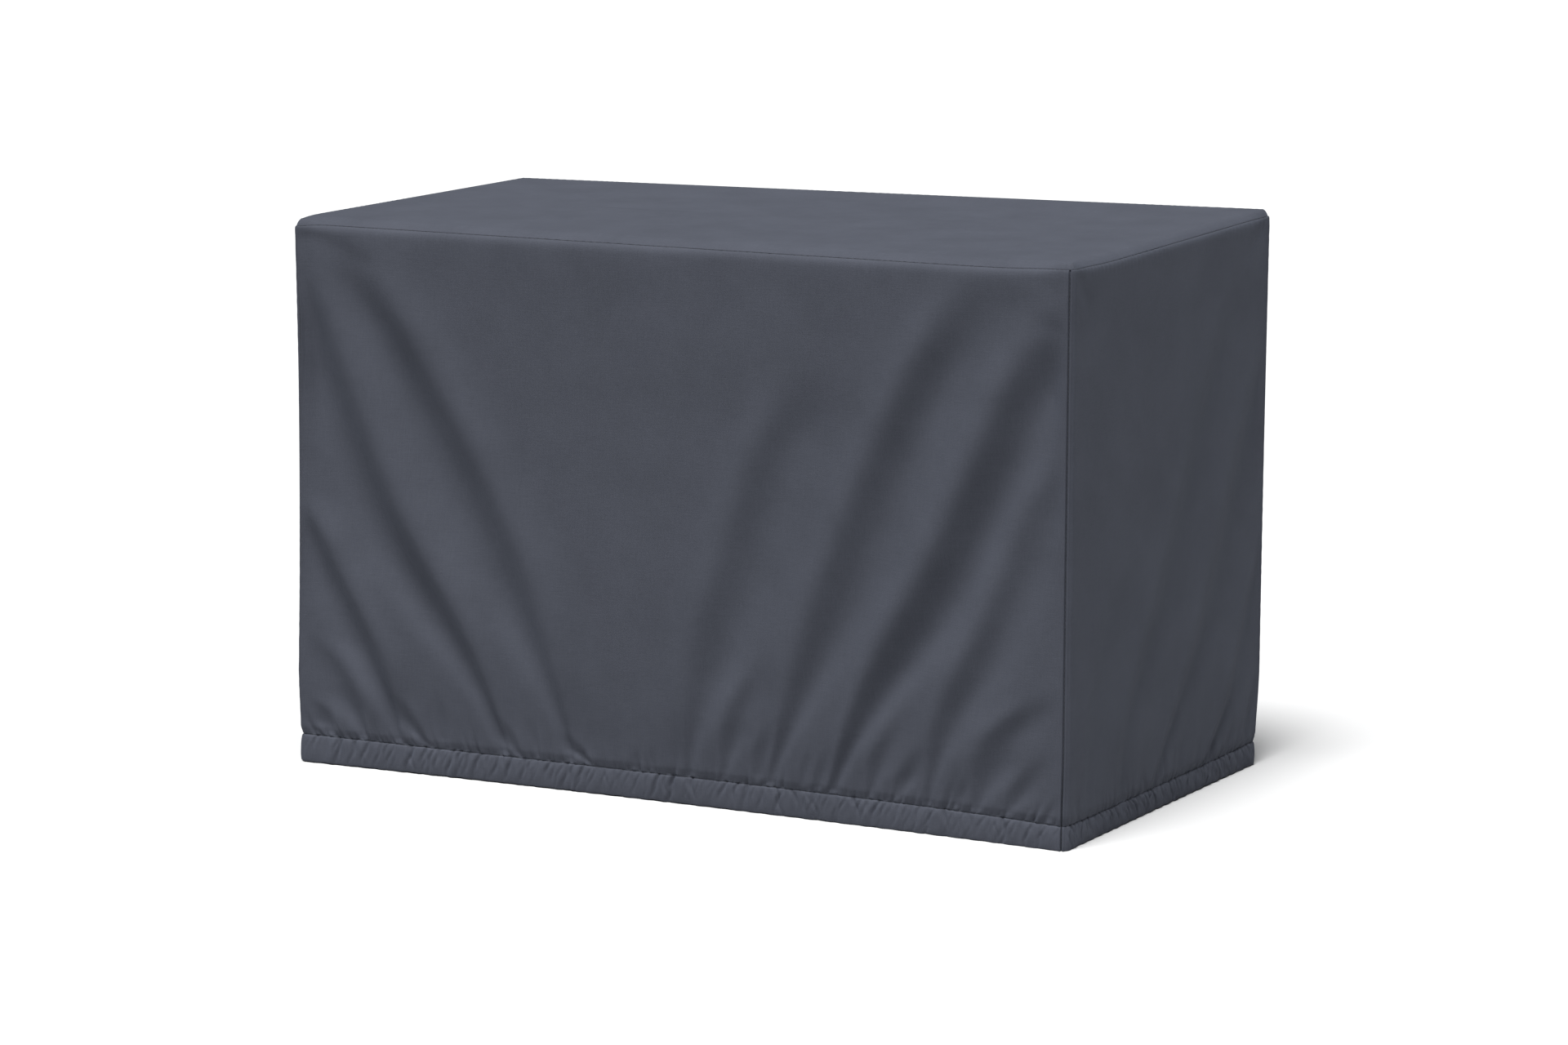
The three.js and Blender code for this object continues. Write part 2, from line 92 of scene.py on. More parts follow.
# The top seam. The cloth of the sides bends in under it by EDGE_IN, over about EDGE_BEND in height, and the
# top slopes down to it over RIM_WIDTH. Each has its value at a corner or a far side, then along the front.
# Close to the stitches the sides dip in a little more, and the top steps down
EDGE_IN, EDGE_BEND, RIM_WIDTH = (0.0006, 0.0065), (0.0030, 0.0048), (0.0082, 0.0300)
EDGE_FROM_CORNER, EDGE_ON_RIGHT = 0.050, 0.35
SEAM_DIP, SEAM_DIP_REACH = 0.0010, 0.0013
SEAM_STEP, SEAM_STEP_REACH = 0.0009, 0.0006

# How far the very tip of each top corner stands above or below the cloth near it, and over what distance
CORNER_TIPS = [(-0.0030, 0.020), (0.0040, 0.055), (0.0, 0.02), (0.0, 0.02)]

# The rolled allowance of an upright seam: its lip's height, place and width, then the dip's depth and width
LIP_HEIGHT, LIP_PLACE, LIP_WIDTH = 0.0015, 0.0024, 0.0010
UPRIGHT_DIP, UPRIGHT_DIP_WIDTH = 0.0034, 0.0008
PUCKER_STEP, UPRIGHT_PUCKER_STEP, PUCKER_DEPTH, PUCKER_REACH = 0.013, 0.021, 0.0004, 0.008

# Folds. Columns: way along the panel from its centre and height of the steep flank at its foot, low down,
# in the middle and at its head, then the flank's slope, which falls towards the panel's end when it is
# positive, and the fold's half width at its foot and higher up. All in millimetres but the slope
FRONT_FOLDS = [
    (-273, 46, -313, 160, -466, 400, -624, 800, -0.74, 6, 39),
    (-161, 46, -189, 160, -290, 400, -542, 800, -0.56, 6, 40),
    (-451, 46, -483, 160, -558, 292, -622, 410, -0.74, 6, 25),
    (-510, 46, -529, 105, -552, 155, -604, 203, -0.46, 6, 22),
    (-567, 43, -571, 62, -582, 85, -608, 98, -0.42, 6, 11),
    (-593, 43, -602, 56, -609, 68, -619, 92, -0.40, 5, 6),
    (-406, 46, -422, 66, -436, 86, -462, 132, -0.42, 6, 12),
    (-248, 43, -260, 60, -271, 80, -294, 114, -0.36, 6, 11),
    (-132, 43, -146, 56, -156, 66, -170, 88, -0.46, 6, 10),
    (-219, 45, -222, 66, -225, 84, -230, 112, -0.28, 4, 6),
    (-372, 52, -374, 80, -377, 100, -383, 134, -0.22, 6, 9),
    (-132, 55, -133, 90, -135, 130, -140, 190, -0.14, 12, 19),
    (-40, 43, -40, 56, -39, 66, -37, 82, 0.22, 4, 6),
    (-68, 43, -66, 52, -64, 62, -60, 76, 0.15, 7, 9),
    (2, 46, 0, 72, -2, 92, -5, 130, 0.16, 6, 9),
    (24, 46, 37, 155, 115, 400, 208, 650, 0.46, 6, 33),
    (80, 48, 87, 95, 107, 155, 141, 226, 0.48, 5, 14),
    (132, 52, 139, 85, 148, 110, 165, 150, 0.32, 7, 10),
    (153, 46, 191, 155, 327, 500, 474, 800, 0.60, 6, 33),
    (206, 50, 211, 72, 216, 86, 225, 112, 0.28, 5, 6),
    (230, 46, 234, 64, 239, 85, 248, 112, 0.36, 5, 7),
    (253, 46, 297, 155, 438, 400, 604, 765, 0.80, 6, 34),
    (315, 48, 325, 94, 339, 124, 368, 184, 0.42, 5, 12),
    (356, 48, 364, 70, 374, 88, 398, 134, 0.42, 5, 11),
    (404, 44, 429, 155, 502, 300, 604, 560, 0.56, 5, 26),
    (434, 46, 438, 60, 442, 72, 449, 94, 0.30, 4, 5),
    (447, 46, 452, 60, 457, 70, 466, 92, 0.40, 5, 6),
    (478, 46, 502, 130, 530, 168, 594, 226, 0.46, 7, 22),
    (527, 46, 543, 76, 561, 104, 594, 146, 0.34, 6, 14),
    (591, 44, 597, 60, 603, 70, 612, 88, 0.30, 5, 6),
]
RIGHT_FOLDS = [
    (-152, 46, -142, 145, -46, 291, 200, 740, 0.20, 12, 36),
    (-38, 46, 8, 110, 114, 250, 312, 640, 0.24, 11, 38),
    (138, 43, 204, 109, 252, 204, 318, 335, 0.26, 11, 24),
    (280, 50, 289, 82, 300, 108, 320, 148, 0.22, 8, 12),
    (48, 50, 53, 90, 62, 120, 86, 175, 0.16, 8, 14),
    (-266, 70, -260, 140, -240, 220, -196, 370, 0.12, 12, 26),
    (-279, 43, -283, 58, -287, 70, -292, 88, -0.20, 4, 6),
    (-202, 43, -205, 54, -207, 64, -210, 82, -0.22, 4, 5),
    (-54, 43, -60, 52, -66, 62, -72, 78, -0.26, 5, 6),
    (-84, 43, -83, 54, -82, 64, -80, 84, 0.16, 4, 5),
    (158, 43, 166, 54, 172, 64, 182, 82, 0.24, 5, 6),
    (212, 43, 218, 56, 224, 68, 236, 90, 0.24, 5, 7),
]
BACK_FOLDS = [
    (-232, 46, -272, 160, -422, 400, -618, 775, -0.52, 10, 34),
    (-112, 46, -142, 160, -236, 400, -470, 780, -0.44, 10, 36),
    (-402, 46, -438, 150, -508, 280, -616, 430, -0.48, 9, 24),
    (-500, 46, -520, 95, -552, 150, -608, 225, -0.42, 8, 17),
    (-330, 46, -340, 70, -350, 90, -370, 132, -0.34, 7, 11),
    (-560, 43, -568, 62, -580, 84, -602, 112, -0.34, 6, 9),
    (-176, 46, -182, 66, -188, 84, -200, 116, -0.26, 6, 9),
    (-30, 46, -33, 80, -37, 120, -44, 190, -0.14, 9, 15),
    (52, 46, 68, 150, 124, 330, 214, 600, 0.32, 9, 34),
    (104, 48, 112, 90, 126, 140, 154, 210, 0.36, 7, 13),
    (190, 46, 222, 150, 330, 390, 520, 785, 0.46, 10, 34),
    (300, 46, 342, 155, 470, 380, 612, 745, 0.62, 10, 35),
    (252, 46, 258, 66, 266, 88, 280, 122, 0.28, 6, 9),
    (380, 48, 390, 74, 402, 98, 428, 142, 0.34, 7, 11),
    (440, 46, 466, 140, 522, 250, 612, 420, 0.48, 9, 24),
    (528, 46, 545, 78, 564, 110, 604, 168, 0.38, 8, 14),
]
LEFT_FOLDS = [
    (-118, 46, -146, 140, -206, 320, -304, 640, -0.30, 11, 34),
    (-214, 46, -232, 100, -262, 170, -314, 300, -0.30, 10, 20),
    (-18, 46, -30, 150, -62, 300, -142, 600, -0.22, 11, 34),
    (94, 46, 122, 150, 176, 300, 292, 690, 0.32, 11, 34),
    (188, 46, 214, 110, 246, 180, 314, 330, 0.30, 10, 22),
    (24, 46, 29, 80, 36, 120, 56, 200, 0.20, 8, 14),
    (-272, 43, -276, 58, -282, 74, -294, 98, -0.26, 5, 7),
    (-66, 43, -70, 58, -74, 72, -82, 96, -0.22, 5, 7),
    (142, 43, 148, 58, 154, 72, 166, 96, 0.24, 5, 7),
    (250, 43, 256, 58, 264, 72, 278, 94, 0.24, 5, 7),
]

# Soft hollows near the top corners. Columns: way along the panel and height of one end and of the other,
# depth and width. All in millimetres
FRONT_HOLLOWS = [
    (-612, 792, -498, 750, 1.9, 11),
    (-606, 772, -596, 744, 0.9, 6),
    (583, 724, 618, 712, 1.3, 9),
    (560, 792, 606, 770, 0.8, 9),
]
RIGHT_HOLLOWS = [
    (-306, 786, -280, 752, 0.9, 8),
    (306, 790, 262, 758, 1.1, 10),
]

# Side panels in order round the footprint. Columns: node, direction along it, folds, hollows, how far the
# hem is drawn in at the middle, how far its casing is shallower there, which way its creases lean, and seed
PANELS = [
    ("front_panel", (1, 0), FRONT_FOLDS, FRONT_HOLLOWS, 0.014, 0.0, 0.38, 3),
    ("right_panel", (0, 1), RIGHT_FOLDS, RIGHT_HOLLOWS, 0.001, 0.008, -0.42, 17),
    ("back_panel", (-1, 0), BACK_FOLDS, [], 0.012, 0.001, 0.36, 29),
    ("left_panel", (0, -1), LEFT_FOLDS, [], 0.008, 0.002, -0.38, 41),
]

# Camera, as fitted to the photograph's framing
IMAGE_WIDTH, SENSOR_MM = 1920, 36.0
FOCAL_PX = 6554
CAMERA_TURN, CAMERA_RISE = math.radians(28.28), math.radians(9.67)
CAMERA_AWAY = 7.825
CAMERA_AIM = Vector((0.0, 0.0, 0.4519))
CAMERA_ASIDE, CAMERA_DOWN = 0.0100, 0.0907


def smooth(t):
    t = np.clip(t, 0.0, 1.0)
    return t * t * (3 - 2 * t)


def lerp(a, b, t):
    return a + (b - a) * t


def bell(distance, width):
    return np.exp(-((distance / width) ** 2) / 2)


def uneven(index, seed):
    """A fixed, uneven value between 0 and 1 for each whole number."""
    wave = np.sin(np.asarray(index) * 12.9898 + seed * 78.233) * 43758.5453
    return wave - np.floor(wave)


def outward(direction):
    return np.array([direction[1], -direction[0]], float)


def panel_length(direction):
    return LENGTH if direction[0] else DEPTH


# The cloth's plan


def corner_at(index, height):
    """Plan places of a corner at an array of heights, before it is rounded."""
    side, top, hem, _, _, _, drawn_in = CORNERS[index % 4]
    up = np.clip(height / HEIGHT, 0, 1)
    waist = drawn_in * 4 * up * (1 - up) + HEM_PULL * smooth((PULL_UP - height) / (PULL_UP - STITCH / 2))
    places = []
    for axis, size in enumerate((LENGTH, DEPTH)):
        places.append(side[axis] * (size / 2 - waist) + lerp(hem[axis], top[axis], up))
    return np.stack(places, axis=-1)


def corner_round(index, height):
    at_top, at_hem = CORNERS[index % 4][3]
    return lerp(at_hem, at_top, np.clip(height / HEIGHT, 0, 1))


def lift(x, y, key):
    across = np.clip(x / LENGTH + 0.5, 0, 1)
    back = np.clip(y / DEPTH + 0.5, 0, 1)
    a, b, c, d = (corner[key][2] for corner in CORNERS)
    level = lerp(lerp(a, b, across), lerp(d, c, across), back)
    for (side, *_), (rise, reach) in zip(CORNERS, CORNER_TIPS):
        away = np.hypot(x - side[0] * LENGTH / 2, y - side[1] * DEPTH / 2)
        level = level + (rise * bell(away, reach) if key == 1 else 0)
    return level


def world_height(x, y, height):
    up = np.clip(height / HEIGHT, 0, 1)
    return height + lerp(lift(x, y, 2), lift(x, y, 1), up)


def casing_drop(index, share, height):
    """How far the gathered casing makes the cloth sit lower than its nominal height."""
    start, end, middle = CORNERS[index][5], CORNERS[(index + 1) % 4][5], PANELS[index][5]
    near_start = np.clip(1 - 2 * share, 0, 1) ** DROP_POWER
    near_end = np.clip(2 * share - 1, 0, 1) ** DROP_POWER
    drop = middle + (start - middle) * near_start + (end - middle) * near_end
    return drop * np.minimum(height / STITCH, 1) * (1 - smooth((height - STITCH) / DROP_REACH))


def arc_point(index, degrees, height):
    """Plan places on a corner's arc and the directions out of it, for an array of heights."""
    before = outward(PANELS[(index + 3) % 4][1])
    after = outward(PANELS[index % 4][1])
    radius = corner_round(index, height)[:, None]
    turn = np.radians(np.broadcast_to(degrees, height.shape))[:, None]
    out = np.cos(turn) * before + np.sin(turn) * after
    return corner_at(index, height) - radius * (before + after) + radius * out, out


# Relief of the cloth, in metres out of its flat outline


def curve_through(places, ups, height):
    """A smooth curve through a few places at rising heights."""
    places, ups = np.array(places), np.array(ups)
    slopes = np.diff(places) / np.diff(ups)
    bends = np.concatenate([slopes[:1], (slopes[:-1] + slopes[1:]) / 2, slopes[-1:]])
    at = np.clip(np.searchsorted(ups, height) - 1, 0, len(ups) - 2)
    step = ups[at + 1] - ups[at]
    t = (height - ups[at]) / step
    start = (2 * t - 3) * t * t + 1
    return (
        start * places[at]
        + (1 - start) * places[at + 1]
        + step * t * (1 - t) ** 2 * bends[at]
        - step * t * t * (1 - t) * bends[at + 1]
    )


def fold_relief(fold, at, height):
    places = [value / 1000 for value in fold[0:8:2]]
    ups = [value / 1000 for value in fold[1:8:2]]
    slope, narrow, wide = fold[8], fold[9] / 1000, fold[10] / 1000
    rows = height[:, 0]
    climbed = (rows - ups[0]) / (ups[3] - ups[0])
    head_fade = lerp(*HEAD_FADES, smooth((ups[3] - ups[0] - TALL_FROM) / (TALL_BY - TALL_FROM)))
    strength = smooth(climbed * 6 + 0.6) * smooth((1 - climbed) / head_fade)
    strength = strength * lerp(1.0, HIGH_STRENGTH, smooth(climbed / HIGH_BY))
    half_width = lerp(narrow, wide, smooth(climbed / FOLD_SPREAD_BY))
    aside = at - curve_through(places, ups, np.clip(rows, ups[0] - 0.01, ups[3]))[:, None]
    spread = half_width[:, None] * np.where(aside * slope < 0, CREST, TROUGH)
    valley = VALLEY * (1 - smooth((rows - ups[0]) / VALLEY_UP)) * half_width
    return -strength[:, None] * (slope * aside + abs(slope) * valley[:, None]) * bell(aside, spread)


def hollow_relief(hollow, at, height):
    from_at, from_up, to_at, to_up, depth, width = (value / 1000 for value in hollow)
    run = np.array([to_at - from_at, to_up - from_up])
    length = np.hypot(*run)
    along = ((at - from_at) * run[0] + (height - from_up) * run[1]) / length
    aside = ((at - from_at) * run[1] - (height - from_up) * run[0]) / length
    past = np.maximum(np.maximum(-along, along - length), 0)
    return -depth * bell(aside, width) * bell(past, width)


def gather_ripple(share, length, seed):
    """Crests and troughs in turn along the gathered hem."""
    count = 2 * int(length / TUCK_STEP / 2 + 0.5)
    index = np.arange(count + 1)
    inside = (index > 0) & (index < count)
    places = (index + np.where(inside, TUCK_UNEVEN * (uneven(index, seed) - 0.5), 0)) / count
    depth = TUCK_DEPTH * lerp(0.45, 1, uneven(index, seed + 7))
    ripples = np.where(inside, depth * np.where(index % 2, 1, -1), 0)
    slot = np.clip(np.searchsorted(places, share) - 1, 0, count - 1)
    within = (share - places[slot]) / (places[slot + 1] - places[slot])
    return lerp(ripples[slot], ripples[slot + 1], smooth(within))


def hem_creases(at, height, length, lean_by, seed):
    """Sharp creases that the gathering presses into the casing and, shorter, into the cloth above it."""
    total = np.zeros_like(at)
    tight = 1.0 if length == LENGTH else SHORT_SIDE_TIGHT
    for index in range(int(length / CREASE_STEP)):
        value = [float(uneven(index, seed + k)) for k in range(1, 9)]
        place = (index + 0.5 + 1.1 * (value[0] - 0.5)) * CREASE_STEP - length / 2
        near = np.abs(at[0] - place) < 0.06
        x, z = at[:, near] - place, height[:, near] - STITCH
        deep = (CREASE_DEEP[0] + CREASE_DEEP[1] * value[1] ** 1.4) * tight
        width = lerp(*CREASE_WIDTH, value[1]) / tight
        lean = lean_by * (0.3 + 0.9 * value[2]) * (1 if value[3] < 0.86 else -0.7)
        reach = lerp(*CREASE_REACH, value[4] ** 0.8)
        at_stitch = lerp(0.35, 1.0, smooth((value[1] - 0.6) / 0.3))
        along = (1 - smooth(-z / reach)) * lerp(at_stitch, 1.0, smooth(-z / 0.009))
        aside = x - lean * z - 0.0016 * np.sin(z * 190 + index * 2.4)
        lips = bell(aside + 2.6 * width, 1.7 * width) + 0.5 * bell(aside - 2.6 * width, 1.7 * width)
        cut = 0.5 * bell(aside, width) + 0.5 * np.exp(-np.abs(aside) / width)
        below = deep * along * (-cut + 0.42 * lips)
        fan = 0.55 * place / (length / 2) + 0.35 * (value[5] - 0.5)
        rise = lerp(*CREASE_RISE, value[6] ** 1.6)
        deep_up = (CREASE_DEEP_UP[0] + CREASE_DEEP_UP[1] * value[7] ** 1.6) / tight
        wide_up = 0.0015 + 0.10 * np.maximum(z, 0)
        aside_up = x - fan * z
        cut_up = -bell(aside_up, wide_up) + 0.5 * bell(aside_up - 0.005, 0.0032)
        above = deep_up * np.exp(-z / rise) * cut_up
        total[:, near] += np.where(z < 0, below, lerp(below, above, smooth(z / 0.0025)))
    return total


def casing_puffs(at, height, seed):
    """Broader, shallower swells of the gathered casing between its creases."""
    a = np.sin(at / 0.0047 + 1.6 * np.sin(height / 0.011 + seed) + 1.9 * np.sin(at / 0.033 + seed))
    b = np.sin(at / 0.0021 + 1.2 * np.sin(height / 0.017 - seed) + 1.4 * np.sin(at / 0.019 - seed))
    across = np.sin(np.pi * np.clip(height / STITCH, 0, 1))
    return (0.00042 * a + 0.00020 * b) * across


def casing_relief(height):
    """The hem's casing: a little sunk under the cloth above, with a belly and a curled lower edge."""
    across = np.clip(height / STITCH, 0, 1)
    belly = CASING_BELLY * np.sqrt(np.sin(np.pi * across))
    under = HEM_CURL * (1 - np.sqrt(np.clip(1 - (1 - height / CURL_UP) ** 2, 0, 1))) * (height < CURL_UP)
    sunk = belly - CASING_SINK - under + CASING_LEAN * (STITCH - height)
    above = -CASING_SINK * (1 - smooth((height - STITCH) / ABOVE_STITCH))
    pull = STITCH_PULL * np.exp(-np.abs(height - STITCH) / STITCH_GROOVE)
    return np.where(height < STITCH, sunk, above) - pull


def thickness_at(height):
    return CLOTH + CASING_EXTRA * smooth((STITCH - height) / 0.005) * lerp(0.7, 1, smooth(height / 0.003))


def seam_roll(distance):
    """The rolled edge of an upright seam's allowance: a low lip, then a dip into the seam."""
    lip = LIP_HEIGHT * bell(distance - LIP_PLACE, LIP_WIDTH)
    return lip - UPRIGHT_DIP * bell(distance, UPRIGHT_DIP_WIDTH)


def edge_softness(x, y, out):
    """How soft the edge under the top seam is: 0 at a corner or a far side, and up to 1 along the front."""
    near_side = np.clip(-out[..., 1], 0, 1) + EDGE_ON_RIGHT * np.clip(out[..., 0], 0, 1)
    from_corner = np.abs(LENGTH / 2 - np.abs(x)) * np.abs(out[..., 1])
    from_corner = from_corner + np.abs(DEPTH / 2 - np.abs(y)) * np.abs(out[..., 0])
    return near_side * smooth((from_corner - ROLL) / EDGE_FROM_CORNER)


def edge_bend(softness, distance):
    """How the cloth of a side bends in towards the top seam, and dips into it."""
    inward = lerp(*EDGE_IN, softness) * np.exp(-distance / lerp(*EDGE_BEND, softness))
    return -inward - SEAM_DIP * np.exp(-distance / SEAM_DIP_REACH)


def seam_puckers(along, distance, seed, step=PUCKER_STEP):
    """Small puckers that the stitches pull along a seam."""
    phase = along / step + 0.6 * np.sin(along / 0.047 + seed) + 0.35 * np.sin(along / 0.019 + seed * 2.3)
    size = 0.55 + 0.45 * np.sin(along / 0.083 + seed * 1.7)
    return PUCKER_DEPTH * size * np.cos(2 * np.pi * phase) * np.exp(-distance / PUCKER_REACH)


def soft_unevenness(x, z, seed):
    """Faint broad waves of cloth that was folded and stored."""
    a = np.sin(x / 0.061 + 1.3 * np.sin(z / 0.083 + seed) + seed)
    b = np.sin(z / 0.052 + 1.1 * np.sin(x / 0.097 - seed) + seed * 2.1)
    c = np.sin((x + z) / 0.035 + seed * 0.7) * np.sin((x - z) / 0.047 + seed)
    return 0.00038 * a * b + 0.00016 * c


def large_relief(panel, at, share, height):
    """Folds, gathers, casing and the draw of the hem: what both faces of the cloth follow."""
    _, direction, folds, _, draw, _, _, seed = panel
    length = panel_length(direction)
    edge = smooth((length / 2 - np.abs(at)) / EDGE_FADE)
    ends = edge * smooth((TOP_SEAM - height) / TOP_FADE) * smooth((height - STITCH) / HEM_FADE)
    out = sum(fold_relief(fold, at, height) for fold in folds) * ends
    fade = np.where(height < STITCH, 1, np.exp(-np.maximum(height - STITCH, 0) / TUCK_REACH))
    out = out + gather_ripple(share, length, seed) * fade * edge + casing_relief(height)
    return out - draw * (1 - (2 * share - 1) ** 2) * np.clip(1 - height / DRAW_UP, 0, 1) ** 2


def small_relief(panel, at, height, from_seam, softness):
    """Creases, puckers and faint waves of the outer face."""
    _, direction, _, hollows, _, _, lean, seed = panel
    length = panel_length(direction)
    inside = smooth((length / 2 - np.abs(at)) / 0.02)
    below_top = TOP_SEAM - height
    out = (hem_creases(at, height, length, lean, seed) + casing_puffs(at, height, seed)) * inside
    out += soft_unevenness(at, height, seed) * inside * smooth((height - STITCH) / 0.05)
    out += sum(hollow_relief(hollow, at, height) for hollow in hollows) * inside * smooth(below_top / 0.02)
    out += edge_bend(softness, below_top) + seam_puckers(at, below_top, seed)
    upright = seam_puckers(height, from_seam, seed + 3, step=UPRIGHT_PUCKER_STEP)
    out += seam_roll(from_seam) + 0.6 * upright
    return out


# Meshes


def grid_faces(numbers, flip=False):
    """Quads of a grid of point numbers."""
    a, b = numbers[:-1, :-1], numbers[:-1, 1:]
    d, c = numbers[1:, :-1], numbers[1:, 1:]
    quads = np.stack([a, b, c, d], axis=-1).reshape(-1, 4)
    return (quads[:, ::-1] if flip else quads).tolist()


def zipper(low, low_marks, high, high_marks, flip=False):
    """Triangles between two lines of points, taken in the order of their marks."""
    faces, i, j = [], 0, 0
    while i < len(low) - 1 or j < len(high) - 1:
        step_low = j == len(high) - 1 or (i < len(low) - 1 and low_marks[i + 1] <= high_marks[j + 1])
        if step_low:
            face = [low[i], low[i + 1], high[j]]
            i += 1
        else:
            face = [low[i], high[j + 1], high[j]]
            j += 1
        faces.append([int(k) for k in (face[::-1] if flip else face)])
    return faces


def mesh_object(name, points, faces, material, cloth=None):
    mesh = bpy.data.meshes.new(name)
    mesh.from_pydata(points.tolist(), [], faces)
    mesh.validate()
    mesh.polygons.foreach_set("use_smooth", np.ones(len(mesh.polygons), bool))
    if cloth is not None:
        layer = mesh.attributes.new("cloth", "FLOAT_VECTOR", "POINT")
        layer.data.foreach_set("vector", cloth.astype(np.float32).ravel())
    mesh.materials.append(material)
    piece = bpy.data.objects.new(name, mesh)
    bpy.context.scene.collection.objects.link(piece)
    return piece


def steps(*stretches):
    """Rising values from stretches of (end, count), starting at 0."""
    values, start = [np.array([0.0])], 0.0
    for end, count in stretches:
        values.append(np.linspace(start, end, count + 1)[1:])
        start = end
    return np.concatenate(values)


# The outer face is fine at the hem and at the top seam, and coarser between them. The inner face is coarse
FINE_STEP, KEEP_EVERY, KEEP_NEAR = 0.0015, 4, 0.012
HEM_ZONE, SEAM_ZONE = 0.130, 0.786
LEAD_COLUMNS, TRAIL_COLUMNS, END_CROWDING = 14, 7, 1.6
HEM_ROWS = (0.005, 5), (0.037, 11), (0.043, 8), (0.062, 8), (HEM_ZONE, 12)
OUTER_ROWS = steps(*HEM_ROWS, (SEAM_ZONE, 94), (0.796, 5), (TOP_SEAM, 7))
INNER_ROWS = steps((0.004, 1), (0.034, 3), (0.046, 3), (0.130, 7), (0.780, 40), (TOP_SEAM, 6))
INNER_EASE = 0.0011
SAME_ROW = 1e-9


def panel_columns(index, heights):
    """Plan places, directions out, shares and marks of a side panel's columns at some heights."""
    direction = PANELS[index][1]
    inner_round = corner_round(index, heights) - thickness_at(heights)
    next_round = corner_round(index + 1, heights) - thickness_at(heights)
    first = CORNERS[index][4] + np.degrees(SEAM_GAP / 2 / inner_round)
    last = CORNERS[(index + 1) % 4][4] - np.degrees(SEAM_GAP / 2 / next_round)
    start, _ = arc_point(index, 90, heights)
    end, _ = arc_point(index + 1, 0, heights)
    columns = []
    for part in np.linspace(0, 1, LEAD_COLUMNS + 1)[:-1] ** END_CROWDING:
        columns.append((*arc_point(index, lerp(first, 90.0, part), heights), 0.0))
    length = panel_length(direction)
    flat = int(round(length / FINE_STEP / KEEP_EVERY)) * KEEP_EVERY
    out = np.broadcast_to(outward(direction), start.shape)
    for share in np.linspace(0, 1, flat + 1):
        columns.append((lerp(start, end, share), out, share))
    for part in 1 - np.linspace(1, 0, TRAIL_COLUMNS + 1)[1:] ** END_CROWDING:
        columns.append((*arc_point(index + 1, lerp(0.0, last, part), heights), 1.0))
    plan = np.stack([column[0] for column in columns], axis=1)
    out = np.stack([column[1] for column in columns], axis=1)
    share = np.array([column[2] for column in columns])
    number = np.arange(len(share)) - LEAD_COLUMNS
    near_end = np.minimum(share, 1 - share) * length < KEEP_NEAR
    kept = (number % KEEP_EVERY == 0) | near_end
    return plan, out, share, kept


def panel_face(index, heights, columns, inner):
    """Points and cloth coordinates of one face of a side panel."""
    panel = PANELS[index]
    plan, out, share, _ = panel_columns(index, heights)
    gaps = np.linalg.norm(np.diff(plan, axis=1), axis=2)
    run = np.concatenate([np.zeros((len(heights), 1)), np.cumsum(gaps, axis=1)], axis=1)
    from_seam = np.minimum(run, run[:, -1:] - run)[:, columns]
    plan, out, share, run = plan[:, columns], out[:, columns], share[columns], run[:, columns]
    at = plan @ np.array(panel[1], float)
    height = np.broadcast_to(heights[:, None], at.shape)
    share = np.broadcast_to(share, at.shape)
    proud = large_relief(panel, at, share, height)
    softness = edge_softness(plan[..., 0], plan[..., 1], out)
    if inner:
        proud = proud - thickness_at(height) - INNER_EASE * smooth((0.12 - height) / 0.06)
        proud = proud + edge_bend(softness, TOP_SEAM - height)
    else:
        proud = proud + small_relief(panel, at, height, from_seam, softness)
    arch = HEM_ARCH * (1 - (2 * share - 1) ** 2) * np.clip(1 - height / ARCH_UP, 0, 1)
    wavy = 0.0002 * (1 + np.sin(at / 0.0093 + 2 * np.sin(at / 0.031))) * smooth(1 - height / 0.02)
    level = world_height(plan[..., 0], plan[..., 1], height) + arch + wavy
    level = level - np.where(height >= TOP_SEAM, SEAM_GAP / 2, 0) - casing_drop(index, share, height)
    points = np.dstack([plan + out * proud[..., None], level])
    return points, np.dstack([run + index * 2.0, height, np.ones_like(run)])


def side_panel(index, material):
    name, direction = PANELS[index][0], PANELS[index][1]
    share, kept = panel_columns(index, np.array([0.0, TOP_SEAM]))[2:]
    every = np.arange(len(share))
    some = every[kept]
    low = OUTER_ROWS[OUTER_ROWS <= HEM_ZONE + SAME_ROW]
    middle = OUTER_ROWS[(OUTER_ROWS > HEM_ZONE + SAME_ROW) & (OUTER_ROWS < SEAM_ZONE - SAME_ROW)]
    high = OUTER_ROWS[OUTER_ROWS >= SEAM_ZONE - SAME_ROW]
    points, cloth, grids, count = [], [], [], 0
    parts = (low, every, False), (middle, some, False), (high, every, False), (INNER_ROWS, some, True)
    for heights, columns, inner in parts:
        place, coordinates = panel_face(index, heights, columns, inner)
        grids.append(np.arange(place.shape[0] * place.shape[1]).reshape(place.shape[:2]) + count)
        count += grids[-1].size
        points.append(place.reshape(-1, 3))
        cloth.append(coordinates.reshape(-1, 3))
    fine, coarse, top, inside = grids
    faces = grid_faces(fine) + grid_faces(coarse) + grid_faces(top) + grid_faces(inside, flip=True)
    faces += zipper(fine[-1], every, coarse[0], some)
    faces += zipper(coarse[-1], some, top[0], every)
    faces += zipper(fine[0], every, inside[0], some, flip=True)
    faces += zipper(top[-1], every, inside[-1], some)
    for side, flip in ((0, False), (-1, True)):
        edge = np.concatenate([fine[:, side], coarse[:, side], top[:, side]])
        faces += zipper(edge, OUTER_ROWS, inside[:, side], INNER_ROWS, flip=flip)
    piece = mesh_object(f"cloth_{name}", np.concatenate(points), faces, material, np.concatenate(cloth))
    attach(piece, "root")
    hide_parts(name)


# Top panel

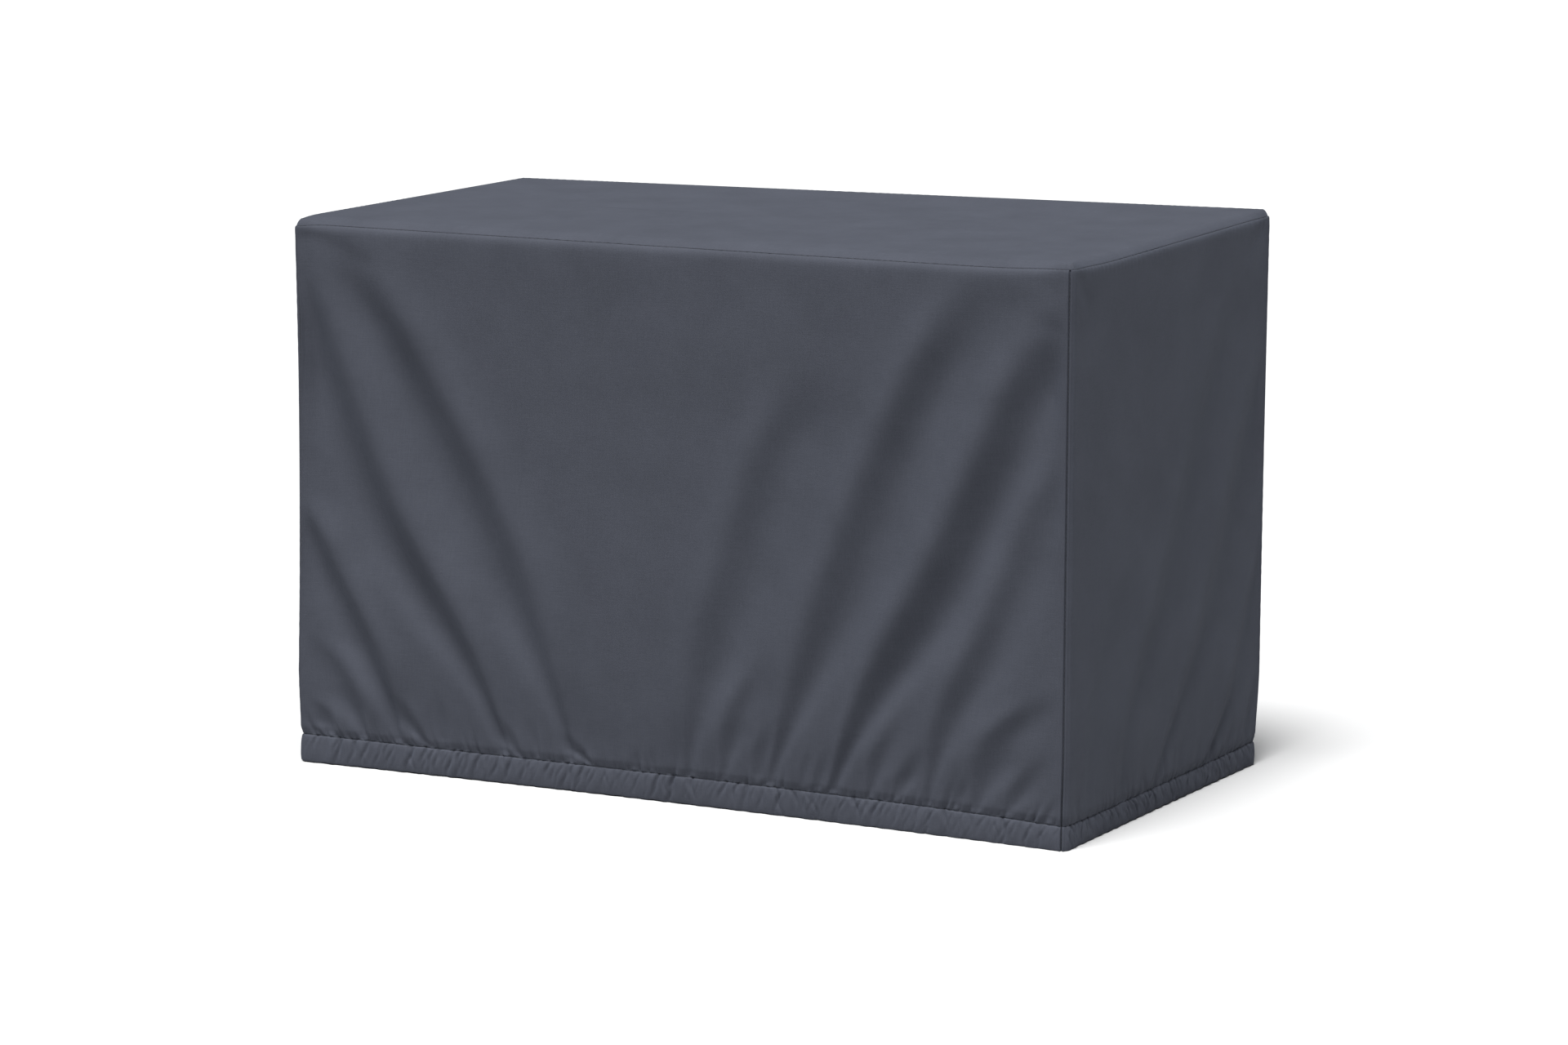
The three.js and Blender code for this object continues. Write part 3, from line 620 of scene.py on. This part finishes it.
TOP_STEP = 0.0045
SPINE = 0.300
FLAT_FROM = 0.48
TOP_SEED, TOP_WAVE_SEED = 5.0, 9.0


def seam_loop():
    height = np.array([TOP_SEAM])
    plans, outs = [], []
    for index, panel in enumerate(PANELS):
        for degrees in np.linspace(0, 90, 10)[:-1]:
            plan, out = arc_point(index, degrees, height)
            plans.append(plan[0])
            outs.append(out[0])
        start, end = arc_point(index, 90, height)[0][0], arc_point(index + 1, 0, height)[0][0]
        columns = int(round(panel_length(panel[1]) / TOP_STEP))
        for column in range(columns):
            plans.append(lerp(start, end, column / columns))
            outs.append(outward(panel[1]))
    return np.array(plans), np.array(outs)


def top_level(side):
    """The top lies on its corners near the rim and is level in the middle."""
    across = side[:, 0] / (LENGTH / 2 - ROLL)
    back = side[:, 1] / (DEPTH / 2 - ROLL)
    inside = np.clip((1 - across**2), 0, 1) * np.clip((1 - back**2), 0, 1)
    return HEIGHT + lift(side[:, 0], side[:, 1], 1) * (1 - smooth(inside / FLAT_FROM))


def top_panel(material):
    plan, out = seam_loop()
    seam_level = world_height(plan[:, 0], plan[:, 1], TOP_SEAM)
    around = np.concatenate([[0], np.cumsum(np.linalg.norm(np.diff(plan, axis=0), axis=1))])
    softness = edge_softness(plan[:, 0], plan[:, 1], out)
    from_edge, width = lerp(*EDGE_IN, softness) + SEAM_DIP, lerp(*RIM_WIDTH, softness)
    outer, inner = [], []
    for share in steps((0.03, 2), (0.10, 3), (0.4, 4), (1.0, 4)):
        rise, gap = 1 - (1 - share) ** 2, SEAM_GAP / 2 if share == 0 else 0.0
        run = width * share
        step = SEAM_STEP * (1 - np.exp(-run / SEAM_STEP_REACH)) * (1 - share)
        level = seam_level + gap + seam_puckers(around, run, TOP_SEED) * (share > 0) + step
        outer.append(np.column_stack([plan - out * (from_edge + run)[:, None], level + ROLL * rise]))
        run = CLOTH + (width - CLOTH) * share
        level = seam_level + gap + (ROLL - CLOTH) * rise
        inner.append(np.column_stack([plan - out * (from_edge + run)[:, None], level]))
    rim = plan - out * (from_edge + width)[:, None]
    spine = np.column_stack([np.clip(rim[:, 0], -SPINE, SPINE), np.zeros(len(rim))])
    for inset in steps((0.06, 7), (0.3, 11), (0.65, 12), (0.97, 8))[1:]:
        side = lerp(rim, spine, inset)
        level = lerp(seam_level + ROLL, top_level(side), smooth(inset / 0.05))
        wave = soft_unevenness(side[:, 0], side[:, 1], TOP_WAVE_SEED) * smooth(inset / 0.08)
        inward = width + inset * DEPTH / 2
        pucker = seam_puckers(around, inward, TOP_SEED)
        outer.append(np.column_stack([side, level + wave + pucker]))
        inner.append(np.column_stack([side, level - CLOTH]))
    outer, inner = np.array(outer), np.array(inner)
    rows, columns = outer.shape[:2]
    count = rows * columns
    number = np.arange(count).reshape(rows, columns)
    closed = np.column_stack([number, number[:, 0]])
    faces = grid_faces(closed) + grid_faces(closed + count, flip=True)
    faces += grid_faces(np.stack([closed[0] + count, closed[0]]))
    middle = [2 * count, 2 * count + 1]
    for near, far in zip(closed[-1][:-1].tolist(), closed[-1][1:].tolist()):
        faces.append([near, far, middle[0]])
        faces.append([far + count, near + count, middle[1]])
    centre = np.array([[0, 0, HEIGHT], [0, 0, HEIGHT - CLOTH]])
    points = np.concatenate([outer.reshape(-1, 3), inner.reshape(-1, 3), centre])
    cloth = points * np.array([1, 1, 0])
    piece = mesh_object("cloth_top_panel", points, faces, material, cloth)
    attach(piece, "root")
    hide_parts("top_panel")


# Stitches

# Rings along one stitch: share of its length, and share of its thickness
THREAD_RINGS = [(0.0, 0.35), (0.2, 1.0), (0.8, 1.0), (1.0, 0.35)]
THREAD_SIDES = 7

# Level rows of stitches. Columns: name, height, spacing, length and thickness of a stitch
STITCH_ROWS = [
    ("hem", STITCH, 0.0066, 0.0048, 0.0010),
    ("top", TOP_SEAM, 0.0070, 0.0044, 0.0007),
]
ABOVE_CLOTH = 0.0001

# Upright seams: spacing, length and thickness of a stitch, then how far each corner's thread stands proud
UPRIGHT_STITCH = (0.0060, 0.0054, 0.0008)
UPRIGHT_PROUD = (0.0030, 0.0012, 0.0012, 0.0012)


def thread_stitch(start, end, radius, normal):
    """One visible stitch: a short thread between two points, thinner at its ends."""
    axis = (end - start) / np.linalg.norm(end - start)
    side = np.cross(axis, normal)
    side /= np.linalg.norm(side)
    up = np.cross(side, axis)
    turns = np.linspace(0, 2 * np.pi, THREAD_SIDES, endpoint=False)[:, None]
    circle = np.cos(turns) * side + np.sin(turns) * up
    rings = [lerp(start, end, share) + radius * width * circle for share, width in THREAD_RINGS]
    points = np.concatenate(rings)
    number = np.arange(len(points)).reshape(len(THREAD_RINGS), THREAD_SIDES)
    faces = grid_faces(np.column_stack([number, number[:, 0]]), flip=True)
    return points, faces + [number[0].tolist(), number[-1][::-1].tolist()]


def point_along(line, run, distance):
    return np.array([np.interp(distance, run, line[:, axis]) for axis in range(3)])


def stitch_row(name, line, normal, step, long, thick, seed, material):
    """Stitches along a line of points that lies on the cloth, as one joined mesh."""
    run = np.concatenate([[0], np.cumsum(np.linalg.norm(np.diff(line, axis=0), axis=1))])
    points, faces, count = [], [], 0
    for index in range(int(run[-1] / step)):
        begin = index * step + 0.4 * (step - long) + 0.0005 * (uneven(index, seed) - 0.5)
        start, end = (point_along(line, run, distance) for distance in (begin, begin + long))
        tilt = 0.0004 * (uneven(index, seed + 1) - 0.5)
        more, quads = thread_stitch(start - [0, 0, tilt], end + [0, 0, tilt], thick / 2, normal)
        faces += [[corner + count for corner in quad] for quad in quads]
        points.append(more)
        count += len(more)
    piece = mesh_object(name, np.concatenate(points), faces, material)
    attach(piece, "root")


def panel_stitches(index, material):
    """The hem's and the top seam's stitches of one side, and those of the upright seam at its start."""
    direction = PANELS[index][1]
    name = PANELS[index][0].replace("_panel", "")
    normal = np.append(outward(direction), 0.0)
    for row, up, step, long, thick in STITCH_ROWS:
        heights = np.array([up - 0.001, up])
        columns = np.arange(LEAD_COLUMNS, panel_columns(index, heights)[2].size - TRAIL_COLUMNS)
        line = panel_face(index, heights, columns, False)[0][1] + normal * ABOVE_CLOTH
        stitch_row(f"{row}_stitches_{name}", line, normal, step, long, thick, index, material)
    heights = np.linspace(0.004, TOP_SEAM - 0.002, 90)
    out = arc_point(index, CORNERS[index][4], heights)[1]
    line = panel_face(index, heights, np.array([0]), False)[0][:, 0]
    line[:, :2] += out * UPRIGHT_PROUD[index]
    normal = np.append(out[0], 0.0)
    stitch_row(f"seam_stitches_{name}", line, normal, *UPRIGHT_STITCH, index + 9, material)


# Materials

DARK_CLOTH, LIGHT_CLOTH = (0.036, 0.039, 0.0495), (0.056, 0.0605, 0.0765)
# The thread is much darker than the cloth: partly its own colour, and partly painted shade of the groove
# the stitches sink into
DARK_THREAD, LIGHT_THREAD = (0.006, 0.0065, 0.009), (0.022, 0.024, 0.031)
YARN_REPEAT, WEAVE_DEPTH, THREAD_BUMP = 0.0008, 0.0003, 0.0002
# How much lighter the side panels' hem casing is painted: painted light that lifts the casing where it lies
# in shade
CASING_PAINTED_LIGHT = 0.14

def node(tree, kind, **values):
    made = tree.nodes.new(kind)
    for key, value in values.items():
        if key in made.inputs:
            made.inputs[key].default_value = value
        else:
            setattr(made, key, value)
    return made


def maths(tree, operation, a, b=None):
    made = tree.nodes.new("ShaderNodeMath")
    made.operation = operation
    for socket, value in zip(made.inputs, (a, b)):
        if value is None:
            continue
        if isinstance(value, (int, float)):
            socket.default_value = value
        else:
            tree.links.new(value, socket)
    return made.outputs[0]


def cloth_material(name):
    """Plain weave of fine yarns: over and under bump, slubs, blotchy tone and a little sheen, and painted
    light that makes the side panels' hem casing lighter.
    """
    material = bpy.data.materials.new(name)
    material.use_nodes = True
    tree = material.node_tree
    shader = tree.nodes["Principled BSDF"]
    shader.inputs["Roughness"].default_value = 0.85
    shader.inputs["Sheen Weight"].default_value = 0.05
    shader.inputs["Sheen Roughness"].default_value = 0.5
    shader.inputs["Sheen Tint"].default_value = (0.55, 0.66, 0.90, 1)
    shader.inputs["Specular IOR Level"].default_value = 0.15
    place = node(tree, "ShaderNodeAttribute", attribute_name="cloth").outputs["Vector"]
    split = tree.nodes.new("ShaderNodeSeparateXYZ")
    tree.links.new(place, split.inputs[0])
    yarn = 2 * math.pi / YARN_REPEAT
    warp = maths(tree, "SINE", maths(tree, "MULTIPLY", split.outputs["X"], yarn))
    weft = maths(tree, "SINE", maths(tree, "MULTIPLY", split.outputs["Y"], yarn))
    weave = maths(tree, "MULTIPLY", warp, weft)

    def streaks(scale, detail):
        spread = node(tree, "ShaderNodeVectorMath", operation="MULTIPLY")
        spread.inputs[1].default_value = scale
        tree.links.new(place, spread.inputs[0])
        noise = node(tree, "ShaderNodeTexNoise", Scale=1.0, Detail=detail, Roughness=0.6)
        tree.links.new(spread.outputs[0], noise.inputs["Vector"])
        return noise.outputs["Fac"]

    along = streaks((35, 620, 1), 2.0)
    upright = streaks((620, 35, 1), 2.0)
    blotch = streaks((9, 9, 1), 4.0)
    grain = streaks((420, 420, 1), 2.0)
    slubs = maths(tree, "ADD", along, upright)
    tone = maths(tree, "ADD", maths(tree, "MULTIPLY", slubs, 0.30), maths(tree, "MULTIPLY", blotch, 0.55))
    tone = maths(tree, "ADD", tone, maths(tree, "MULTIPLY", grain, 0.25))
    tone = maths(tree, "ADD", tone, maths(tree, "MULTIPLY", weave, 0.03))
    # Painted light: below the stitch line the side panels' casing is painted lighter, to make up for the
    # shade it lies in
    casing_light = tree.nodes.new("ShaderNodeMapRange")
    casing_light.interpolation_type = "SMOOTHSTEP"
    for socket, value in zip(casing_light.inputs[1:5], (STITCH + 0.004, STITCH - 0.004, 0.0, CASING_PAINTED_LIGHT)):
        socket.default_value = value
    tree.links.new(split.outputs["Y"], casing_light.inputs["Value"])
    tone = maths(tree, "ADD", tone, maths(tree, "MULTIPLY", casing_light.outputs[0], split.outputs["Z"]))
    ramp = tree.nodes.new("ShaderNodeValToRGB")
    ramp.color_ramp.elements[0].position, ramp.color_ramp.elements[1].position = 0.38, 0.98
    ramp.color_ramp.elements[0].color = (*DARK_CLOTH, 1)
    ramp.color_ramp.elements[1].color = (*LIGHT_CLOTH, 1)
    tree.links.new(tone, ramp.inputs["Fac"])
    tree.links.new(ramp.outputs["Color"], shader.inputs["Base Color"])
    height = maths(tree, "ADD", maths(tree, "MULTIPLY", weave, 0.3), maths(tree, "MULTIPLY", slubs, 0.7))
    height = maths(tree, "ADD", height, maths(tree, "MULTIPLY", grain, 0.8))
    bump = node(tree, "ShaderNodeBump", Strength=0.6, Distance=WEAVE_DEPTH)
    tree.links.new(height, bump.inputs["Height"])
    tree.links.new(bump.outputs["Normal"], shader.inputs["Normal"])
    return material


def thread_material():
    material = bpy.data.materials.new("thread")
    material.use_nodes = True
    tree = material.node_tree
    shader = tree.nodes["Principled BSDF"]
    shader.inputs["Roughness"].default_value = 0.7
    coordinates = tree.nodes.new("ShaderNodeTexCoord")
    noise = node(tree, "ShaderNodeTexNoise", Scale=900.0, Detail=2.0)
    tree.links.new(coordinates.outputs["Object"], noise.inputs["Vector"])
    ramp = tree.nodes.new("ShaderNodeValToRGB")
    ramp.color_ramp.elements[0].color = (*DARK_THREAD, 1)
    ramp.color_ramp.elements[1].color = (*LIGHT_THREAD, 1)
    tree.links.new(noise.outputs["Fac"], ramp.inputs["Fac"])
    tree.links.new(ramp.outputs["Color"], shader.inputs["Base Color"])
    bump = node(tree, "ShaderNodeBump", Strength=0.5, Distance=THREAD_BUMP)
    tree.links.new(noise.outputs["Fac"], bump.inputs["Height"])
    tree.links.new(bump.outputs["Normal"], shader.inputs["Normal"])
    return material


# Studio

FLOOR_HALF = 40.0

def make_camera():
    turn, rise = CAMERA_TURN, CAMERA_RISE
    back = Vector((math.sin(turn) * math.cos(rise), -math.cos(turn) * math.cos(rise), math.sin(rise)))
    right = Vector((0, 0, 1)).cross(back).normalized()
    up = back.cross(right)
    data = bpy.data.cameras.new("camera")
    data.sensor_fit = "HORIZONTAL"
    data.sensor_width = SENSOR_MM
    data.lens = FOCAL_PX / IMAGE_WIDTH * SENSOR_MM
    camera = bpy.data.objects.new("camera", data)
    place = CAMERA_AIM + back * CAMERA_AWAY + right * CAMERA_ASIDE - up * CAMERA_DOWN
    camera.matrix_world = Matrix.Translation(place) @ Matrix((right, up, back)).transposed().to_4x4()
    bpy.context.scene.collection.objects.link(camera)
    bpy.context.scene.camera = camera


def sunlight(name, towards, softness, strength):
    """An even, soft light from one side of the sky. towards points from the object to the light."""
    data = bpy.data.lights.new(name, "SUN")
    data.angle = math.radians(softness)
    data.energy = strength
    lamp = bpy.data.objects.new(name, data)
    lamp.rotation_euler = Vector(towards).to_track_quat("Z", "Y").to_euler()
    bpy.context.scene.collection.objects.link(lamp)


def make_floor():
    material = bpy.data.materials.new("floor")
    material.use_nodes = True
    shader = material.node_tree.nodes["Principled BSDF"]
    shader.inputs["Base Color"].default_value = (0.50, 0.50, 0.50, 1)
    shader.inputs["Roughness"].default_value = 1.0
    shader.inputs["Specular IOR Level"].default_value = 0.0
    size = FLOOR_HALF
    corners = np.array([[-size, -size, 0], [size, -size, 0], [size, size, 0], [-size, size, 0]], float)
    mesh_object("floor", corners, [[0, 1, 2, 3]], material)


def make_world():
    """White to the camera, and a dimmer soft grey as light."""
    world = bpy.data.worlds.new("studio")
    bpy.context.scene.world = world
    world.use_nodes = True
    tree = world.node_tree
    tree.nodes.clear()
    seen = node(tree, "ShaderNodeBackground", Color=(1, 1, 1, 1), Strength=1.0)
    lit = node(tree, "ShaderNodeBackground", Color=(0.90, 0.94, 1.0, 1), Strength=0.16)
    mix = tree.nodes.new("ShaderNodeMixShader")
    path = tree.nodes.new("ShaderNodeLightPath")
    output = tree.nodes.new("ShaderNodeOutputWorld")
    tree.links.new(path.outputs["Is Camera Ray"], mix.inputs["Fac"])
    tree.links.new(lit.outputs[0], mix.inputs[1])
    tree.links.new(seen.outputs[0], mix.inputs[2])
    tree.links.new(mix.outputs[0], output.inputs["Surface"])


bpy.context.scene.view_settings.view_transform = "Standard"
make_camera()
make_world()
make_floor()
sunlight("overhead", (0.045, -0.33, 0.94), 26, 6.9)

side_cloth = cloth_material("side_cloth")
top_cloth = cloth_material("top_cloth")
thread = thread_material()

top_panel(top_cloth)
for index in range(len(PANELS)):
    side_panel(index, side_cloth)
    panel_stitches(index, thread)
